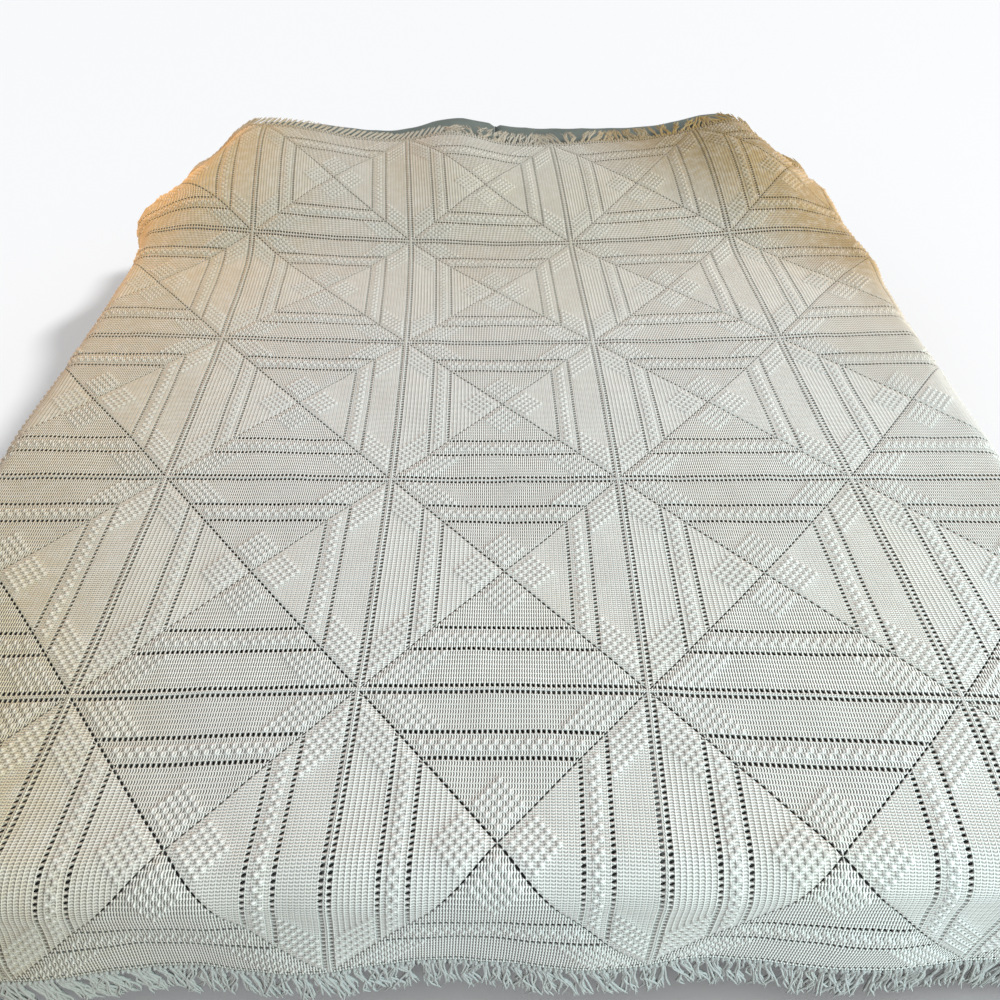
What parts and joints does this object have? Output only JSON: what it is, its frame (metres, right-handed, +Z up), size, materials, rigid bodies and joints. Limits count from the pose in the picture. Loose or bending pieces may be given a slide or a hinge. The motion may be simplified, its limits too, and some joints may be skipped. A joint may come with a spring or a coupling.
{
  "type": "crochet bedspread on a mattress with two pillows",
  "caption": "Cream crochet bedspread of joined lace squares with a fringe, laid over a mattress and its pillows, hanging a little at the sides and foot.",
  "frame": {"origin": "middle of the whole part's box at floor level, under the mattress", "axes": "+X across the bed to the right as seen from its foot, +Y towards the head, +Z up"},
  "size_m": [2.159, 2.2914, 0.4752],
  "materials": {
    "crochet": "matt cotton yarn, crocheted in an openwork pattern",
    "fringe": "loose cotton strands",
    "mattress_cover": "plain dark slate sheet",
    "pillow_case": "plain dark slate cotton"
  },
  "bodies": {
    "root": {"bedspread": "crochet", "fringe_foot": "fringe", "fringe_head": "fringe", "fringe_left": "fringe", "fringe_right": "fringe", "mattress": "mattress_cover", "pillow_left": "pillow_case", "pillow_right": "pillow_case"}
  },
  "joints": []
}
